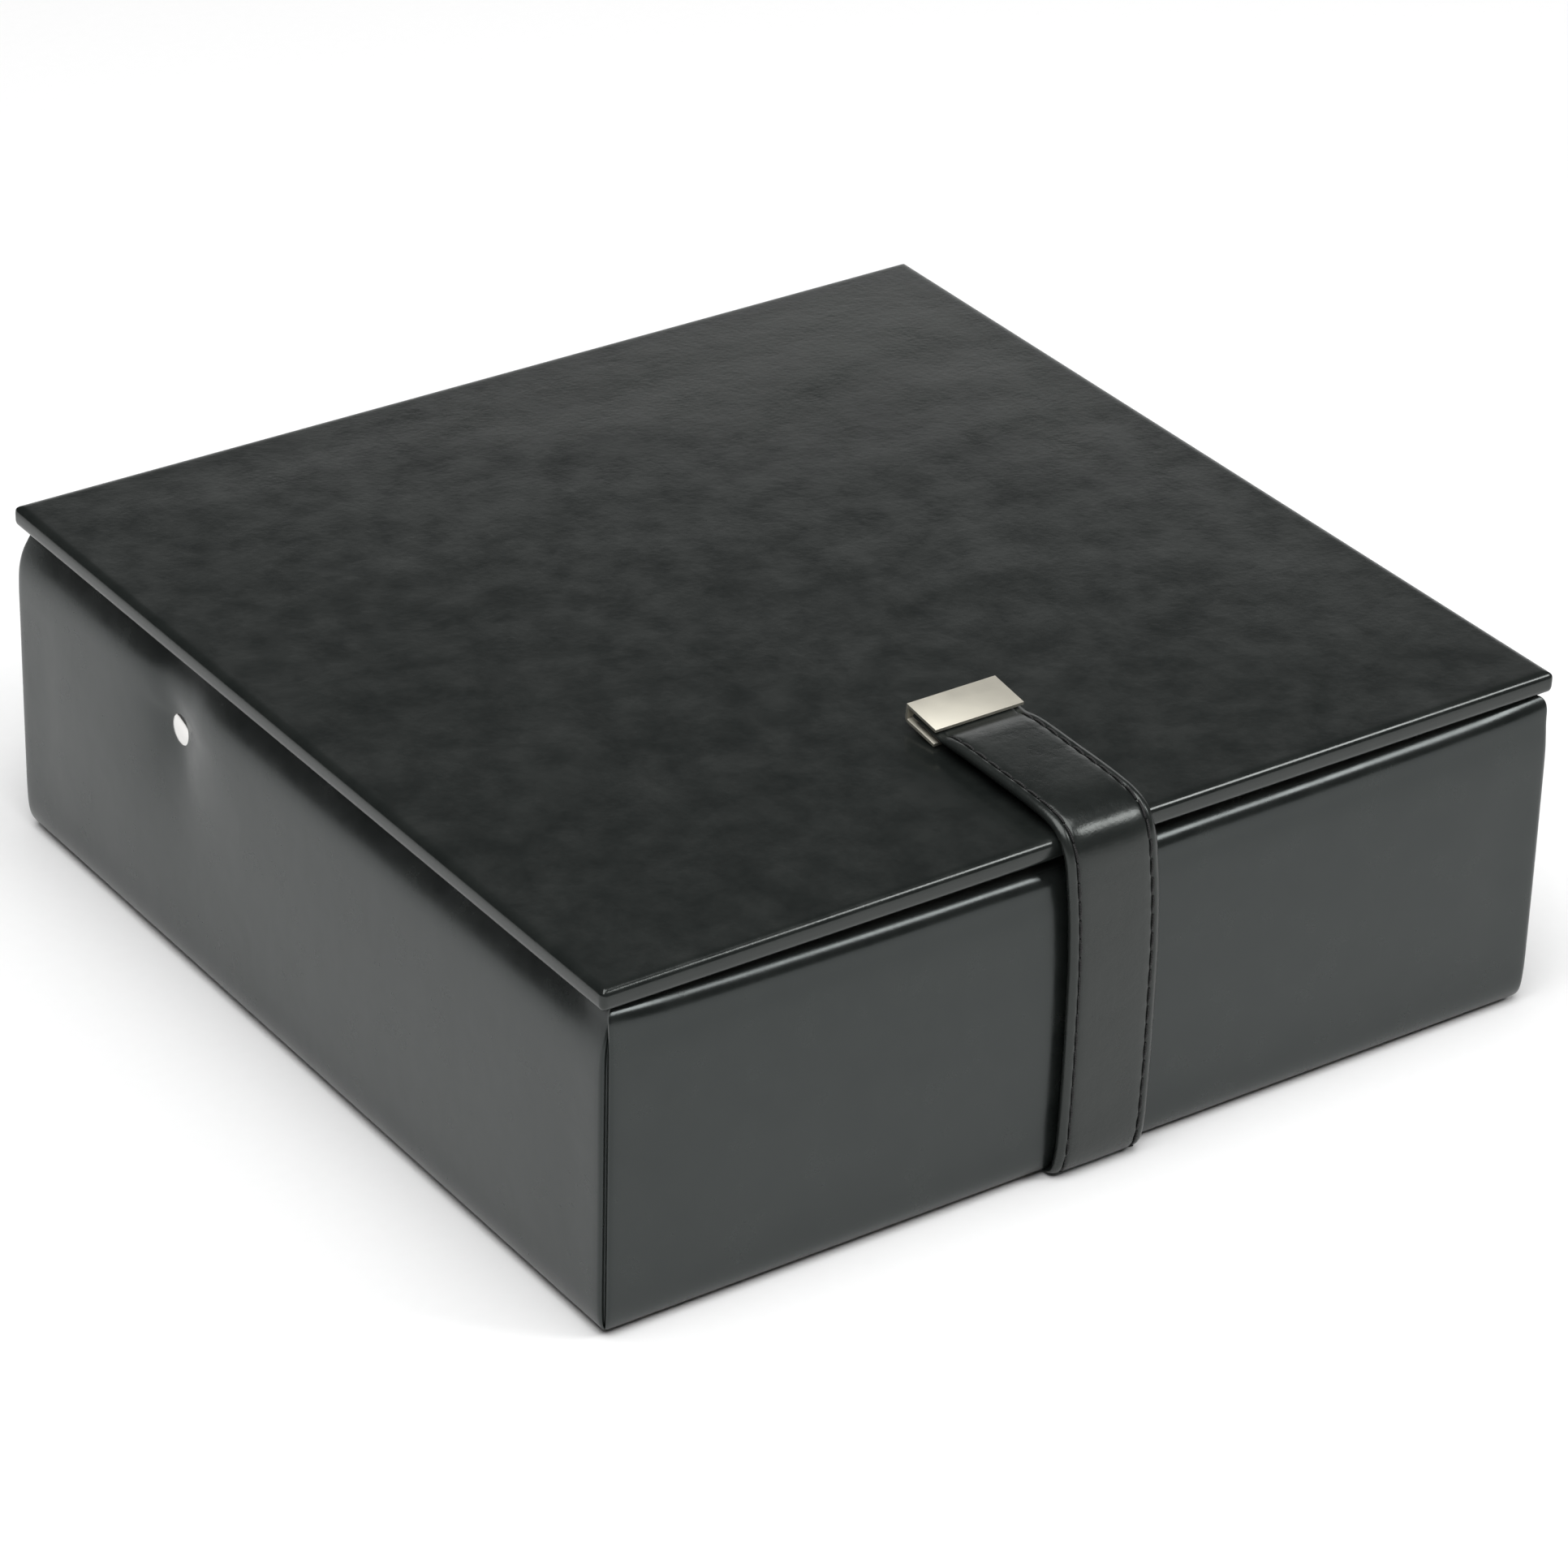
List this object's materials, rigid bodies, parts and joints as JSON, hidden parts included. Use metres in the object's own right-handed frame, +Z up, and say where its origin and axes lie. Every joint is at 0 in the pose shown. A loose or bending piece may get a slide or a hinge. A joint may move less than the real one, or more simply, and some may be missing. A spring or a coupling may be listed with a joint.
{
  "type": "jewelry box",
  "caption": "Square padded leather jewelry box with a thin hinged lid, a front strap with a magnetic clip, and a tray that lifts and moves back as the lid opens.",
  "frame": {"origin": "middle of the underside, on the surface that the box stands on", "axes": "+X to the right along the front, +Y to the back where the hinges are, +Z up"},
  "size_m": [0.27, 0.278, 0.0989],
  "materials": {
    "leather": "semi-gloss black",
    "board": "raw fibreboard",
    "lining": "soft grey velvet",
    "felt": "black felt",
    "nickel": "satin warm nickel",
    "polished": "polished",
    "steel": "plain steel",
    "mirror": "silvered glass"
  },
  "bodies": {
    "case": {"front_padding": "leather", "right_padding": "leather", "rear_padding": "leather", "left_padding": "leather", "front_board": "board", "right_board": "board", "rear_board": "board", "left_board": "board", "bottom_cover": "felt", "floor_board": "board", "wall_lining": "lining", "floor_lining": "lining", "lower_front_divider": "lining", "lower_rear_divider": "lining", "lower_middle_divider": "lining", "lower_cross_divider": "lining", "bracelet_roll": "lining", "right_stud": "polished", "left_stud": "polished", "strap_anchor": "leather", "left_hinge_base_leaf": "nickel", "left_hinge_pin": "steel", "right_hinge_base_leaf": "nickel", "right_hinge_pin": "steel"},
    "lid": {"left_hinge_lid_leaf": "nickel", "right_hinge_lid_leaf": "nickel", "lid_cover": "leather", "lid_board": "board", "magnet_keeper": "steel", "lid_lining": "lining", "mirror_glass": "mirror", "mirror_frame": "nickel", "left_tray_bracket": "nickel", "right_tray_bracket": "nickel"},
    "left_lever": {"left_lever": "nickel"},
    "right_lever": {"right_lever": "nickel"},
    "tray": {"tray_floor": "lining", "front_tray_wall": "lining", "right_tray_wall": "lining", "rear_tray_wall": "lining", "left_tray_wall": "lining", "right_lever_pin": "steel", "left_lever_pin": "steel", "right_bracket_pin": "steel", "left_bracket_pin": "steel", "tray_middle_divider": "lining", "tray_left_divider": "lining", "tray_right_divider": "lining", "ring_roll_1": "lining", "ring_roll_2": "lining", "ring_roll_3": "lining", "ring_roll_4": "lining", "ring_roll_5": "lining", "earring_pad": "lining"},
    "strap": {"strap_front": "leather"},
    "strap_flap": {"strap_top": "leather", "strap_clip": "nickel", "strap_magnet": "steel"}
  },
  "joints": [
    {"name": "lid_hinge", "type": "hinge", "parent": "case", "child": "lid", "pos_m": [0, 0.1368, 0.0855], "axis": [-1, 0, 0], "range_deg": [0, 95]},
    {"name": "left_lever_pivot", "type": "hinge", "parent": "case", "child": "left_lever", "pos_m": [-0.1233, 0.0557, 0.0649], "axis": [-1, 0, 0], "range_deg": [0, 95]},
    {"name": "right_lever_pivot", "type": "hinge", "parent": "case", "child": "right_lever", "pos_m": [0.1233, 0.0557, 0.0649], "axis": [-1, 0, 0], "range_deg": [0, 95]},
    {"name": "tray_pivot", "type": "hinge", "parent": "left_lever", "child": "tray", "pos_m": [-0.1233, -0.0043, 0.0564], "axis": [-1, 0, 0], "range_deg": [-95, 0]},
    {"name": "strap_swing", "type": "hinge", "parent": "case", "child": "strap", "pos_m": [0, -0.1362, 0.0032], "axis": [1, 0, 0], "range_deg": [0, 88]},
    {"name": "flap_fold", "type": "hinge", "parent": "strap", "child": "strap_flap", "pos_m": [0, -0.139, 0.097], "axis": [1, 0, 0], "range_deg": [0, 90]}
  ],
  "couplings": [
    {"joint": "left_lever_pivot", "follows": "lid_hinge", "ratio": 1},
    {"joint": "right_lever_pivot", "follows": "lid_hinge", "ratio": 1},
    {"joint": "tray_pivot", "follows": "lid_hinge", "ratio": -1}
  ]
}
